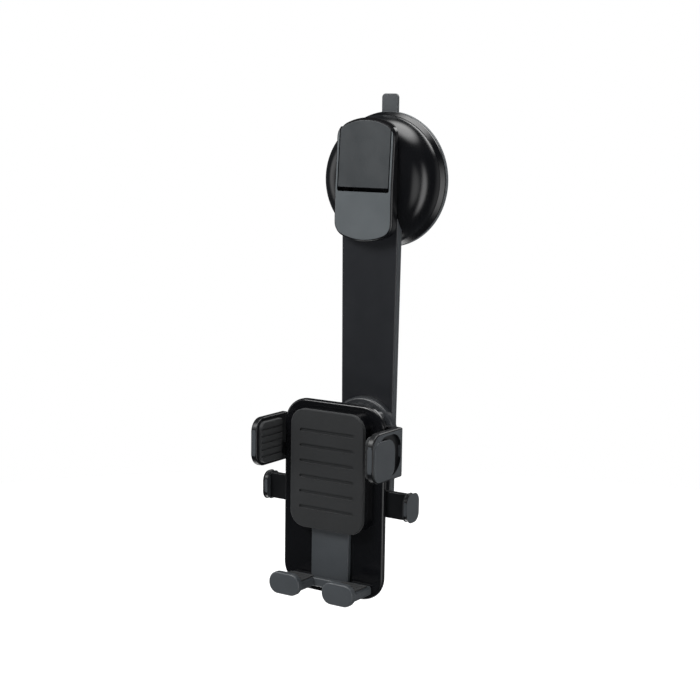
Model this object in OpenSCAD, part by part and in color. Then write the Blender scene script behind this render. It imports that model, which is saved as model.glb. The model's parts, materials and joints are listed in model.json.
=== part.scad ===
// Suction-cup car phone mount: a lever-locked cup on the glass, a flat arm,
// a ball joint and a cradle with two geared side clamps and a pull-out foot.
// X is to the right, Y runs away from the user and Z is up.
// The origin is the centre of the cup's contact ring on the glass, at y = 0.

/* [Suction cup] */
// Diameter of the soft cup
cup_d = 81; // [60:1:100]
// Thickness of the cup's outer lip
cup_lip = 3; // [2:0.1:4]
// Height of the hollow under the middle of the cup
cup_hollow = 3.2; // [2:0.1:3.8]
// Width of the pull tab
tab_w = 11.3; // [6:0.1:20]
// Height of the tab's top above the cup's centre
tab_top = 51; // [44:1:65]

/* [Dome and lock lever] */
// Radius of the dome's rounded shoulder
shoulder_r = 17.5; // [12:0.5:18]
// Distance from the glass to the flat top of the dome
dome_h = 25.2; // [24:0.1:30]
// Wall of the dome
dome_wall = 2.5; // [1.5:0.1:4]
// Width of the head
head_w = 40.6; // [34:0.1:50]
// Top of the head above the cup's centre
head_top = 36.8; // [30:0.1:45]
// Bottom of the head below the cup's centre
head_bottom = 35.8; // [28:0.1:40]
// Thickness of the head in front of the dome
head_t = 5.8; // [5.5:0.1:7]
// How far the head's top leans back
head_lean = 2.7; // [0:0.1:4]
// Width of the lever's panel
lever_w = 35.4; // [24:0.1:38]
// Thickness of the lever's panel
lever_t = 2.8; // [2:0.1:3.5]
// Lower edge of the panel below the cup's centre
lever_drop = 4.4; // [3.5:0.1:5]
// Travel of the plunger
plunger_travel = 2; // [1:0.1:2.2]
// Opening angle of the lever in degrees
lever_open = 72; // [50:1:75]
// Radius of the lever's steel pin
lever_pin_r = 1.25; // [1:0.05:1.6]

/* [Arm] */
// Width of the arm just below the head
arm_w_top = 38.8; // [30:0.1:46]
// Width of the arm's taper at the lower end
arm_w_end = 34.8; // [28:0.1:40]
// Thickness of the arm
arm_t = 5.8; // [5:0.1:9]
// Distance from the glass to the arm's front face
arm_front = 23; // [22.5:0.1:24]
// Lower end of the arm below the cup's centre
arm_end = 204; // [190:1:260]
// Width of the arm's steel core
core_w = 26; // [18:1:28]
// Thickness of the arm's steel core
core_t = 2; // [1.5:0.1:2.5]

/* [Ball joint] */
// Distance of the ball joint below the cup's centre
joint_drop = 152; // [140:1:165]
// Radius of the ball
ball_r = 8.5; // [7:0.1:10]
// Radius of the round base on the arm
base_r = 22.8; // [20:0.1:26]
// Thickness of the round base
base_t = 5; // [4:0.1:7]
// Radius of the ball stud's neck
neck_r = 4.2; // [3:0.1:5]

/* [Cradle] */
// Width of the back plate
plate_w = 68.6; // [60:0.1:80]
// Height of the back plate
plate_h = 115.6; // [105:0.1:140]
// Top of the plate above the ball's centre
plate_rise = 24; // [20:0.5:30]
// Corner radius of the plate
plate_r = 15; // [8:0.5:20]
// Thickness of the plate's edge
plate_t = 3.6; // [2.5:0.1:5]
// Depth of the housing behind the plate
housing_t = 9.4; // [8.5:0.1:12]
// Distance from the glass to the plate's back
plate_back = 54.9; // [54:0.1:58]
// Thickness of the soft front pad
pad_t = 2.5; // [1.5:0.1:4]
// Distance from the glass to the pad's face
pad_face = 65.75; // [64:0.05:70]

/* [Clamps, release levers and foot] */
// Gap between the clamp pads at rest
clamp_gap = 71.5; // [62:0.1:86]
// Travel of each clamp outwards
clamp_out = 8; // [4:0.5:10]
// Height of a clamp
clamp_h = 29; // [22:0.5:34]
// How far a clamp's middle sits below the ball
clamp_drop = 1.4; // [0:0.1:2]
// Thickness of a clamp's plate
clamp_t = 4.4; // [3:0.1:6]
// Distance from the glass to a clamp's front edge
clamp_front = 82.5; // [78:0.1:90]
// Thickness of a clamp's soft pad
clamp_pad_t = 2.5; // [1.5:0.1:4]
// Height of a release lever's arm
release_h = 15.4; // [10:0.1:18]
// Outer face of a release lever from the middle
release_reach = 50.9; // [46:0.1:60]
// Centre of the release levers below the ball's centre
release_drop = 32.8; // [31:0.1:36]
// Travel of a release lever
release_travel = 3.5; // [2:0.1:5]
// Top of the foot's shelves below the ball's centre
foot_drop = 81.9; // [78:0.1:90]
// Distance from the middle to the centre of each foot
foot_x = 18.7; // [15:0.1:24]
// Width of each foot
foot_w = 21.4; // [14:0.1:26]
// Height of each foot's front lip
lip_h = 13.2; // [9:0.1:18]
// Travel of the pull-out foot
foot_travel = 12; // [6:1:16]

/* [Hidden] */
$fn = 64;
eps = 0.01;

// Clearances: a seat between fixed pieces, a running fit, and a gap round moving pieces.
seat = 0.05;
run = 0.06;
free = 0.3;

// Colours
SOFT = "#3f4145";
GLOSS = "#1c1d20";
SLATE = "#55595e";
SATIN = "#44474c";
STEEL = "#a9adb2";

// Cup and dome
cup_r = cup_d / 2;
cup_mid = cup_hollow + 3.2;
rim_r = cup_r - 2;
hollow_r = rim_r - 6.5;
middle_r = rim_r - 12.5;
shoulder_x = rim_r - 0.2 - shoulder_r;
shoulder_y = dome_h - shoulder_r;

// Head
head_front = dome_h + head_t;
pin_y = head_front - 3.4;
core_front = arm_front - (arm_t - core_t) / 2;
core_back = core_front - core_t;
cam_h = pin_y - core_front - run;
cam_rate = plunger_travel / (lever_open * PI / 180);
cam_w = 17;
cam_low = -8.6;
cam_room = 16.4;
eye_w = 6;
stem_r = 2.9;

// Arm
arm_start = 20;
core_top = 17;
arm_back = arm_front - arm_t;
split = arm_front - arm_t / 2;
screw_r = 1.5;
screw_head_r = 2.7;
screw_head_t = 1.2;
arm_end_r = 15;

// Ball joint, as distances from the glass
joint_z = -joint_drop;
base_front = arm_front + base_t;
collar_r = 15.5;
collar_front = base_front + 6.2;
ball_y = base_front + 5.2;
liner_r = ball_r + 2.2;
nut_front = ball_y + 7;
nut_hole = ball_r - 0.2;

// Cradle
plate_top = joint_z + plate_rise;
plate_z = plate_top - plate_h / 2;
plate_front = plate_back + plate_t;
layer_back = plate_back - 4.3;
layer_t = 3.9;
housing_back = plate_back - housing_t;
housing_w = plate_w - 8.6;
housing_top = plate_top - 3;
housing_h = 91;
housing_z = housing_top - housing_h / 2;
housing_wall = 1.8;
boss_w = 50;
boss_top = plate_top - 5;
boss_h = 70;
boss_front = pad_face - pad_t;

// Racks and pinion
tooth_m = 1;
pinion_teeth = 10;
pinion_r = tooth_m * pinion_teeth / 2;
addendum = 0.8;
dedendum = 1.1;
rack_h = 8;
rack_in = 17;
clamp_z = joint_z;
clamp_in = clamp_gap / 2 + clamp_pad_t;
clamp_back = plate_back - 4.6;
spring_lug = 9;
spring_stop = -9;
spring_z = pinion_r + rack_h + 2.6;

// Release levers and pawl
release_z = joint_z - release_drop;
pawl_top = joint_z - pinion_r - rack_h - 1.6;
pawl_h = 11;
pawl_w = 18;
wing_x = 16.5;
wing_z = pawl_top - 3.9;
nose_in = 13;
nose_out = 20.6;
nose_top = pawl_top - 2.4;

// Foot
shelf_z = joint_z - foot_drop;
shelf_t = 5.4;
grip_t = 0.8;
lip_t = 3.8;
foot_front = clamp_front - 1.1;
leaf_w = 26;
leaf_t = 2.4;
leaf_h = 30;

// ---- Helpers ----

// Extrudes an (x, z) outline from y = -front to y = -back.
module slab(back, front) {
    translate([0, -back, 0]) rotate([90, 0, 0]) linear_extrude(front - back) children();
}

// Extrudes a (y, z) outline along X, centred.
module rib(width) {
    rotate([90, 0, 90]) translate([0, 0, -width / 2]) linear_extrude(width) children();
}

// A cylinder along Y between two distances from the glass.
module post(r, back, front) {
    translate([0, -back, 0]) rotate([90, 0, 0]) cylinder(h = front - back, r = r);
}

// A cone along Y between two distances from the glass.
module taper(r_back, r_front, back, front) {
    translate([0, -back, 0]) rotate([90, 0, 0]) cylinder(h = front - back, r1 = r_back, r2 = r_front);
}

// A rounded rectangle made of squares and circles, so that it stays exact.
module rounded(w, h, r) {
    square([w - 2 * r, h], center = true);
    square([w, h - 2 * r], center = true);
    for (x = [-1, 1], z = [-1, 1]) translate([x * (w / 2 - r), z * (h / 2 - r)]) circle(r);
}

// Revolves an outline given as [radius, distance from the glass] round the cup's axis.
module turned(points) {
    rotate([90, 0, 0]) rotate_extrude($fn = 128) polygon(points);
}

// Points on an arc.
function arc(cx, cy, r, from, to, n = 16) =
    [for (i = [0 : n]) let (a = from + (to - from) * i / n) [cx + r * cos(a), cy + r * sin(a)]];

// A coil spring along Z from z = 0: wire radius, coil radius, length and turns.
module coil(wire, r, length, turns) {
    sides = 6;
    steps = turns * 12;
    points = [for (i = [0 : steps], k = [0 : sides - 1])
        let (a = 360 * i / 12, b = 360 * k / sides, q = r + wire * cos(b))
        [q * cos(a), q * sin(a), wire + (length - 2 * wire) * i / steps + wire * sin(b)]];
    sides_faces = [for (i = [0 : steps - 1], k = [0 : sides - 1])
        let (a = i * sides + k, b = i * sides + (k + 1) % sides)
        each [[a, b, b + sides], [a, b + sides, a + sides]]];
    first = [for (k = [sides - 1 : -1 : 0]) k];
    last = [for (k = [0 : sides - 1]) steps * sides + k];
    polyhedron(points, concat([first], sides_faces, [last]));
}

// ---- Suction cup, dome and head ----

module suction_cup() {
    color(SOFT) {
        turned(concat(
            [[cup_r, 0.5], [cup_r, cup_lip - 0.4], [cup_r - 0.4, cup_lip], [middle_r + 3, cup_lip]],
            [[middle_r, cup_mid], [0, cup_mid], [0, cup_hollow]],
            [for (i = [1 : 12]) let (a = 90 * i / 12) [(middle_r + 1) * sin(a), cup_hollow * cos(a)]],
            [[cup_r - 0.5, 0]]));
        slab(0.4, 2.4) intersection() {
            translate([0, tab_top - 15]) rounded(tab_w, 30, 3);
            translate([-tab_w, cup_r - 4]) square([2 * tab_w, 30]);
        }
    }
}

// The y of the head's leaning front face at height z above the lever's lower edge.
function lean_y(z) = -head_front + head_lean * (z + lever_drop) / (head_top + lever_drop);

// The head's outline from the front: arched ends with rounded corners.
module head_outline(inset = 0) {
    w = head_w - 2 * inset;
    h = head_top + head_bottom - 2 * inset;
    z = (head_top - head_bottom) / 2;
    intersection() {
        translate([0, z]) rounded(w, h, 12.5 - inset);
        translate([0, head_top - 36]) circle(36 - inset, $fn = 128);
        translate([0, 40 - head_bottom]) circle(40 - inset, $fn = 128);
    }
}

module dome_housing() {
    inner = shoulder_r - dome_wall;
    color(GLOSS) difference() {
        turned(concat(
            [[0, cup_lip + seat], [cup_r - 0.2, cup_lip + seat], [cup_r - 0.2, cup_lip + 1]],
            [[rim_r + 0.3, shoulder_y - 1.6], [rim_r - 0.2, shoulder_y - 1]],
            arc(shoulder_x, shoulder_y, shoulder_r, 0, 90, 20),
            [[0, dome_h]]));
        // Hollow over the cup, with its ceiling on the steel core.
        turned(concat(
            [[0, 0], [hollow_r, 0], [hollow_r, shoulder_y]],
            arc(shoulder_x, shoulder_y, min(inner, hollow_r - shoulder_x), 0, 60, 12),
            [[shoulder_x, core_front], [0, core_front]]));
        // Notch that the arm's shells fill.
        slab(arm_back - run, arm_front + run)
            translate([-arm_half(arm_start) - run, -cup_r])
            square([2 * arm_half(arm_start) + 2 * run, cup_r - arm_start + run]);
        // Slot that the steel core runs through.
        slab(core_back - run, core_front)
            translate([-core_w / 2 - run, -cup_r]) square([core_w + 2 * run, cup_r + core_top + run]);
        // Window for the cams and trough for the lever's lower edge.
        cam_window(core_front - 1, dome_h + 1);
        slab(core_front + 0.6, dome_h + 1)
            translate([-lever_w / 2 - 0.5, -6.8]) square([lever_w + 1, 8.2]);
        for (p = head_screw_places) translate([p[0], 0, p[1]])
            post(screw_r + run, core_front - 1, dome_h + 1);
    }
}

// Room for the two cams as they swing.
module cam_window(back, front) {
    slab(back, front) translate([-cam_w / 2 - 2 * free, cam_low]) square([cam_w + 4 * free, cam_room]);
}

head_screw_places = [for (x = [-11.2, 11.2], z = [12, -14]) [x, z]];

module head_frame() {
    color(SLATE) difference() {
        intersection() {
            slab(15, head_front + 1) head_outline();
            rib(head_w + 2) polygon([
                [-head_front, -head_bottom - 1], [-head_front, -lever_drop],
                [lean_y(head_top + 1), head_top + 1], [lean_y(head_top + 1) + head_t - 0.4, head_top + 1],
                [-dome_h, shoulder_x + 2.4], [-dome_h, -head_bottom - 1]]);
        }
        // Recess that the lever's panel lies in, open at the top.
        rib(lever_w + 2 * free) polygon([
            [-head_front - 2, -lever_drop - 2.2], [-dome_h + 1, -lever_drop - 2.2],
            [-dome_h + 1, 1.6], [lean_y(1.6) + lever_t + free, 1.6],
            [lean_y(head_top + 2) + lever_t + free, head_top + 2], [-head_front - 2, head_top + 2]]);
        // Window for the cams.
        cam_window(dome_h - 1, head_front - lever_t - free);
        for (p = head_screw_places) translate([p[0], 0, p[1]])
            post(screw_r + seat, dome_h - 1, dome_h + 1.4);
    }
}

module head_screws() {
    color(STEEL) for (p = head_screw_places) translate([p[0], 0, p[1]]) {
        difference() {
            post(screw_head_r, core_back - 1.9, core_back);
            post(1.1, core_back - 2, core_back - 0.9, $fn = 6);
        }
        post(screw_r, core_back - eps, dome_h + 1.3);
    }
}

// The cam's edge keeps a straight-line lift, so it is an involute of a small circle.
function cam_edge(n = 15) = [for (i = [0 : n])
    let (a = lever_open * i / n, h = cam_h - cam_rate * a * PI / 180, k = cam_rate)
    [h * cos(a) + k * sin(a), -h * sin(a) + k * cos(a)]];

module lock_lever() {
    ear_w = (cam_w - eye_w) / 2 - free;
    color(SATIN) difference() {
        union() {
            // Panel, cut from the same leaning block as the head.
            intersection() {
                slab(15, head_front + 1) intersection() {
                    head_outline(1.3);
                    translate([-lever_w / 2, -lever_drop]) square([lever_w, 60]);
                }
                rib(lever_w + 1) polygon([
                    [-head_front, -lever_drop], [lean_y(head_top + 1), head_top + 1],
                    [lean_y(head_top + 1) + lever_t, head_top + 1], [-head_front + lever_t, -lever_drop + 2],
                    [-head_front + 0.9, -lever_drop]]);
            }
            // Two cam ears on the pin, one each side of the plunger's eye.
            for (side = [-1, 1]) translate([side * (cam_w - ear_w) / 2, -pin_y, 0])
                rib(ear_w) union() {
                    polygon(concat(cam_edge(), [[-2.2, -3.6], [-2.2, 5], [1, 5]]));
                    circle(3);
                }
        }
        // Slot for the eye and bore for the pin.
        slab(pin_y - 4, pin_y + 2.7) square([eye_w + 2 * free, 9], center = true);
        translate([0, -pin_y, 0]) rotate([0, 90, 0])
            cylinder(h = cam_w + 1, r = lever_pin_r + run / 2, center = true);
    }
}

module lever_pin() {
    color(STEEL) translate([0, -pin_y, 0]) rotate([0, 90, 0])
        cylinder(h = cam_w - 0.4, r = lever_pin_r, center = true);
}

module plunger() {
    color(STEEL) difference() {
        union() {
            post(15, cup_mid + 0.1, cup_mid + 1.9);
            post(stem_r, cup_mid + 1, pin_y - 2);
            translate([0, -pin_y, 0]) rib(eye_w) union() {
                circle(2.5);
                translate([0, -2.5]) square([pin_y - core_front - plunger_travel - free, 5]);
            }
        }
        translate([0, -pin_y, 0]) rotate([0, 90, 0])
            cylinder(h = cam_w, r = lever_pin_r + seat, center = true);
    }
}

module plunger_spring() {
    color(STEEL) translate([0, -cup_mid - 2, 0]) rotate([90, 0, 0])
        coil(0.55, 5.2, core_back - cup_mid - 2.1, 4);
}

// ---- Arm ----

function arm_half(z) = (arm_w_top + (arm_w_end - arm_w_top) * (z - 40) / (arm_end - 40)) / 2;

// The arm's outline from the front, tapering down to a rounded end.
module arm_outline(inset = 0) {
    r = arm_end_r;
    low = arm_half(arm_end - r) - inset;
    intersection() {
        polygon([[-arm_half(arm_start) + inset, -arm_start - inset], [arm_half(arm_start) - inset, -arm_start - inset],
            [arm_half(arm_end) - inset, -arm_end + inset], [-arm_half(arm_end) + inset, -arm_end + inset]]);
        union() {
            translate([-low - 4, -arm_end + r]) square([2 * low + 8, arm_end]);
            translate([-low + r, -arm_end + inset]) square([2 * low - 2 * r, r + 1]);
            for (x = [-1, 1]) translate([x * (low + inset - r), -arm_end + r]) circle(r - inset);
        }
    }
}

arm_screw_places = [[0, -52], [0, -84], [0, -116]];
core_low = joint_drop + 22;

module arm_core() {
    color(STEEL) difference() {
        slab(core_back, core_front) {
            translate([-core_w / 2, -core_low]) square([core_w, core_low]);
            translate([-core_w / 2, -10]) square([core_w, 10 + core_top]);
        }
        post(stem_r + run, core_back - 1, core_front + 1);
        for (p = head_screw_places) translate([p[0], 0, p[1]]) post(screw_r + run, core_back - 1, core_front + 1);
        for (p = arm_screw_places) translate([p[0], 0, p[1]]) post(screw_r + run, core_back - 1, core_front + 1);
        for (p = socket_screw_places) translate([p[0], 0, p[1]]) post(screw_r + run, core_back - 1, core_front + 1);
    }
}

module core_pocket() {
    slab(core_back - seat, core_front + seat)
        translate([-core_w / 2 - seat, -core_low - 0.3]) square([core_w + 2 * seat, core_low + 1]);
}

module arm_front_shell() {
    color(GLOSS) difference() {
        slab(split, arm_front) arm_outline();
        core_pocket();
        for (p = arm_screw_places) translate([p[0], 0, p[1]]) post(screw_r + seat, split - 1, arm_front - 1);
        for (p = socket_screw_places) translate([p[0], 0, p[1]]) post(screw_r + run, split - 1, arm_front + 1);
    }
}

module arm_rear_shell() {
    color(SATIN) difference() {
        slab(arm_back, split - seat) arm_outline();
        core_pocket();
        for (p = concat(arm_screw_places, socket_screw_places)) translate([p[0], 0, p[1]]) {
            post(screw_r + run, arm_back - 1, split + 1);
            post(screw_head_r + run, arm_back - 1, arm_back + screw_head_t);
        }
    }
}

// A pan-head screw pointing at the user, with a cross recess.
module shell_screw(back, front) {
    difference() {
        union() {
            post(screw_head_r, back, back + screw_head_t);
            post(screw_r, back + 1, front);
        }
        for (a = [0, 90]) rotate([0, a, 0]) slab(back - 1, back + 0.7) square([3.2, 0.7], center = true);
    }
}

module arm_screws() {
    color(STEEL) for (p = arm_screw_places) translate([p[0], 0, p[1]]) shell_screw(arm_back, arm_front - 1.1);
}

// ---- Ball joint ----

socket_screw_places = [for (x = [-8, 8], z = [-12, 12]) [x, joint_z + z]];

module socket_base() {
    color(SATIN) translate([0, 0, joint_z]) difference() {
        union() {
            post(base_r, arm_front + seat, base_front - 1);
            taper(base_r, base_r - 1, base_front - 1, base_front);
            post(collar_r, base_front - 1, collar_front);
        }
        // Cup for the liner, open to the front, and room for the ball's back.
        post(liner_r + run, base_front - 2, collar_front + 1);
        post(6, ball_y - ball_r - 0.4, base_front);
        for (p = socket_screw_places) translate([p[0], 0, p[1] - joint_z])
            post(screw_r + seat, arm_front - 1, arm_front + 3.2);
    }
}

module socket_screws() {
    color(STEEL) for (p = socket_screw_places) translate([p[0], 0, p[1]]) shell_screw(arm_back, arm_front + 3);
}

module ball_liner() {
    r = ball_r + 2 * run;
    back = base_front - 1.9;
    front = ball_y + 3.2;
    color(SOFT) translate([0, 0, joint_z]) turned(concat(
        [[liner_r, front], [liner_r, back]],
        [for (i = [0 : 20])
            let (d = back + (front - back) * i / 20)
            [sqrt(r * r - (d - ball_y) * (d - ball_y)), d]]));
}

module joint_ball() {
    color(STEEL) translate([0, -ball_y, joint_z]) sphere(r = ball_r, $fn = 96);
}

module lock_nut() {
    ribs = 20;
    color(SATIN) translate([0, 0, joint_z]) difference() {
        union() {
            post(base_r - 3.4, base_front + free, nut_front - 3);
            taper(base_r - 3.4, base_r - 7.4, nut_front - 3, nut_front);
        }
        post(collar_r + run, base_front, collar_front + free);
        // Bore over the liner, then the lip that keeps the ball in.
        post(liner_r + free, base_front, ball_y + 3.2 + free);
        post(nut_hole, base_front, nut_front + 1);
        taper(nut_hole - 0.2, nut_hole + 3, nut_front - 3, nut_front + eps);
        for (i = [0 : ribs - 1]) rotate([0, 360 * i / ribs, 0]) translate([base_r - 2.6, 0, 0])
            post(1.3, base_front, nut_front + 1, $fn = 24);
    }
}

module ball_stud() {
    color(STEEL) translate([0, 0, joint_z]) difference() {
        union() {
            post(neck_r, ball_y, housing_back - 2.2);
            taper(neck_r, 8.5, housing_back - 4.2, housing_back - 2.2);
            post(8.5, housing_back - 2.2, housing_back);
        }
        translate([0, -ball_y, 0]) sphere(r = ball_r + run, $fn = 96);
        post(screw_r + seat, housing_back - 3.6, housing_back + 1);
    }
}

module stud_screw() {
    color(STEEL) translate([0, 0, joint_z]) difference() {
        union() {
            post(2.8, housing_back + housing_wall, housing_back + housing_wall + 1.6);
            post(screw_r, housing_back - 3.4, housing_back + housing_wall + eps);
        }
        post(1.2, housing_back + housing_wall + 0.6, housing_back + housing_wall + 2, $fn = 6);
    }
}

// ---- Cradle ----

housing_screw_places = [for (x = [-24, 24], z = [housing_top - 4.4, housing_top - housing_h + 5.5]) [x, z]];

module rear_housing() {
    wall_in = housing_w / 2 - housing_wall;
    color(SATIN) difference() {
        union() {
            difference() {
                slab(housing_back, plate_back) translate([0, housing_z]) rounded(housing_w, housing_h, 11);
                slab(housing_back + housing_wall, plate_back + 1) translate([0, housing_z])
                    rounded(housing_w - 2 * housing_wall, housing_h - 2 * housing_wall, 11 - housing_wall);
            }
            // Screw bosses, rack rails and the wall between racks and levers.
            for (p = housing_screw_places) translate([p[0], 0, p[1]]) post(3.2, housing_back + 1, plate_back);
            for (side = [-1, 1]) slab(housing_back + 1, layer_back - 0.2)
                translate([0, joint_z + side * (pinion_r + 5)]) square([2 * wall_in + 1, 3], center = true);
            slab(housing_back + 1, layer_back - 0.2) translate([0, release_z]) square([2 * wall_in + 1, 8], center = true);
            // Stop for the clamp spring, and a seat for the pawl's spring.
            translate([spring_stop - 2, -plate_back, joint_z + spring_z - 2])
                cube([2, plate_back - housing_back - 1, 4]);
            translate([-5, -plate_back, pawl_top - pawl_h - 9]) cube([10, plate_back - housing_back - 1, 1.6]);
            post_at(0, joint_z, 5.4, housing_back + 1, housing_back + housing_wall + 1.7);
            post_at(0, joint_z, 3, housing_back + 3.4, layer_back);
        }
        for (p = housing_screw_places) translate([p[0], 0, p[1]]) {
            post(screw_r + run, housing_back - 1, plate_back + 1);
            post(screw_head_r + run, housing_back - 1, housing_back + screw_head_t);
        }
        // Bores for the stud's screw and its head, and for the pinion's pin.
        post_at(0, joint_z, screw_r + run, housing_back - 1, plate_back);
        post_at(0, joint_z, 2.8 + run, housing_back + housing_wall - eps, plate_back);
        // Side mouths for the racks and the release levers.
        for (side = [-1, 1]) {
            slab(layer_back - free, plate_back + 1)
                translate([side * housing_w / 2, joint_z + side * (pinion_r + rack_h / 2)])
                square([12, rack_h + 2 * free], center = true);
            slab(layer_back - free, plate_back + 1)
                translate([side * housing_w / 2, release_z]) square([12, release_h + 2 * free], center = true);
        }
    }
}

module post_at(x, z, r, back, front) {
    translate([x, 0, z]) post(r, back, front);
}

module front_plate() {
    color(GLOSS) difference() {
        union() {
            slab(plate_back + seat, plate_front) translate([0, plate_z]) rounded(plate_w, plate_h, plate_r);
            slab(plate_front - 0.5, boss_front) translate([0, boss_top - boss_h / 2]) rounded(boss_w, boss_h, 9);
        }
        // Channel for the foot's leaf, from inside the boss down past the plate's edge.
        slab(plate_front - 1, plate_front + leaf_t + free)
            translate([-leaf_w / 2 - free, shelf_z - 40]) square([leaf_w + 2 * free, leaf_h + 40 + 4]);
        for (p = housing_screw_places) translate([p[0], 0, p[1]]) post(screw_r + seat, plate_back - 1, plate_front - 0.8);
        post_at(0, joint_z, 2.05, plate_back - 1, plate_front - 0.6);
    }
}

module front_pad() {
    color(SOFT) difference() {
        slab(boss_front + seat, pad_face) translate([0, boss_top - boss_h / 2]) rounded(boss_w + 1, boss_h + 1, 9.5);
        for (z = [0 : 5]) slab(pad_face - 0.8, pad_face + 1)
            translate([0, boss_top - 12 - 9.2 * z]) rounded(38, 2, 0.95);
    }
}

module housing_screws() {
    color(STEEL) for (p = housing_screw_places) translate([p[0], 0, p[1]])
        shell_screw(housing_back, plate_front - 0.9);
}

module pinion_pin() {
    color(STEEL) translate([0, 0, joint_z]) post(2, housing_back + housing_wall + 1.75, plate_front - 0.7);
}

// ---- Racks, pinion and clamps ----

// Half-widths of a tooth at the root, at the pitch circle and at the tip, as [half-width, radius].
TOOTH = [[1.0, pinion_r - dedendum], [0.62, pinion_r], [0.26, pinion_r + addendum]];

// The pinion's outline: the same tooth turned round to each place.
function pinion_outline() = [for (i = [0 : pinion_teeth - 1])
    let (a = 90 - 360 * i / pinion_teeth)
    each [for (side = [-1, 1], k = [0 : 2])
        let (t = TOOTH[side < 0 ? k : 2 - k])
        [t[1] * cos(a) + side * t[0] * sin(a), t[1] * sin(a) - side * t[0] * cos(a)]]];

module sync_pinion() {
    color("#d8d4c8") translate([0, 0, joint_z]) difference() {
        slab(layer_back + 0.25, layer_back + layer_t - 0.1) polygon(pinion_outline());
        post(2 + run, layer_back - 1, plate_back + 1);
    }
}

// A rack bar above the pinion, with its teeth down, reaching from the clamp to x = -rack_in.
module rack_outline() {
    pitch = PI * tooth_m;
    difference() {
        translate([-rack_in, pinion_r - addendum]) square([rack_in + clamp_in + 1, rack_h + addendum]);
        for (i = [-4 : 5]) translate([i * pitch, pinion_r]) polygon([
            [-1.28, -addendum - eps], [-1.0, 0], [-0.6, dedendum], [0.6, dedendum], [1.0, 0], [1.28, -addendum - eps]]);
        translate([5.4 * pitch, pinion_r - addendum - eps]) square([40, addendum + eps]);
        translate([-40 - 4.4 * pitch, pinion_r - addendum - eps]) square([40, addendum + eps]);
    }
}

// The clamp's outline from the side: rounded front corners and a nearly square back.
module clamp_outline(inset = 0) {
    long = clamp_front - clamp_back;
    r = 6.5;
    translate([-clamp_front + inset, inset - clamp_h / 2 - clamp_drop]) {
        h = clamp_h - 2 * inset;
        q = r - inset;
        translate([q, 0]) square([long - 2 * inset - q, h]);
        translate([0, q]) square([long, h - 2 * q]);
        translate([q, q]) circle(q);
        translate([q, h - q]) circle(q);
    }
}

// One clamp at the right-hand side, with its rack above or below the pinion.
module clamp(flip) {
    translate([0, 0, clamp_z]) {
        translate([clamp_in + clamp_t / 2, 0, 0]) rib(clamp_t) clamp_outline();
        // Raised thumb boss on the outer face, straight at the back and round in front.
        translate([clamp_in + clamp_t + 0.3, 0, 0]) rib(0.8) intersection() {
            translate([-clamp_front + 12.2, -clamp_drop - 1]) rounded(20.5, 22, 7);
            translate([-clamp_front, -18]) square([22.2, 36]);
        }
        mirror([0, 0, flip]) slab(layer_back, layer_back + layer_t) {
            rack_outline();
            // Lug that the clamp spring pushes, on the upper rack only.
            if (flip == 0) translate([spring_lug, pinion_r + rack_h - 1]) square([3, 5.6]);
        }
    }
}

module clamp_pad() {
    translate([clamp_gap / 2 + clamp_pad_t / 2, 0, clamp_z]) difference() {
        rib(clamp_pad_t) intersection() {
            clamp_outline(2.2);
            translate([-clamp_front, -20]) square([clamp_front - pad_face + 6, 40]);
        }
        for (i = [-2 : 2]) translate([-clamp_pad_t / 2, -clamp_front + 12, 4 * i])
            cube([1, 30, 1.2], center = true);
    }
}

module clamp_spring() {
    color(STEEL) translate([spring_stop + 0.05, -layer_back - layer_t / 2, clamp_z + spring_z]) rotate([0, 90, 0])
        coil(0.3, 1.5, spring_lug - spring_stop - 0.1, 9);
}

module right_clamp_arm() { color(SATIN) clamp(0); }
module left_clamp_arm() { color(SATIN) mirror([1, 0, 0]) clamp(1); }
module right_clamp_pad() { color(SOFT) clamp_pad(); }
module left_clamp_pad() { color(SOFT) mirror([1, 0, 0]) clamp_pad(); }

// ---- Release levers and pawl ----

// The pawl's shoulders and the levers' noses share a slope of one in two.
function wedge_z(x) = wing_z - (x - pawl_w / 2) / 2;

module release_lever() {
    low = release_z - release_h / 2;
    slab(layer_back, layer_back + layer_t) {
        // Arm, notched at its inner end for the return spring.
        difference() {
            translate([nose_out, low]) square([release_reach - 2 - nose_out, release_h]);
            translate([nose_out - 1, low - 1]) square([5.3, 7.6]);
        }
        // Nose that presses the pawl down.
        polygon([[nose_in, nose_top], [nose_in, wedge_z(nose_in) + free],
            [nose_out, wedge_z(nose_out) + free], [nose_out, low + release_h - 1],
            [nose_out + 5, low + release_h - 1], [nose_out + 5, nose_top]]);
    }
    // End plate that the finger presses.
    translate([release_reach - 1.5, -plate_back + 3.35, release_z])
        rib(3) rounded(12, release_h + 0.9, 4);
}

module right_release_lever() { color(SATIN) release_lever(); }
module left_release_lever() { color(SATIN) mirror([1, 0, 0]) release_lever(); }

module release_spring() {
    half = nose_out + 4.2;
    color(STEEL) translate([-half, -layer_back - layer_t / 2, release_z - 4.6])
        rotate([0, 90, 0]) coil(0.35, 1.5, 2 * half, 12);
}

module lock_pawl() {
    color(STEEL) slab(layer_back + 0.1, layer_back + layer_t - 0.1) {
        polygon([for (side = [-1, 1], k = [0 : 3])
            let (i = side < 0 ? k : 3 - k)
            [side * [pawl_w / 2, pawl_w / 2, wing_x, wing_x][i],
            [pawl_top - 1.6, wing_z, wedge_z(wing_x), pawl_top - pawl_h][i]]]);
        for (i = [-2 : 2]) translate([2.6 * i, pawl_top - 1.6 - eps])
            polygon([[-1, 0], [1, 0], [1, 1.3]]);
    }
}

module pawl_spring() {
    color(STEEL) translate([0, -layer_back - layer_t / 2, pawl_top - pawl_h - 7.3])
        coil(0.35, 1.5, 7.2, 5);
}

// ---- Pull-out foot ----

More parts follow.
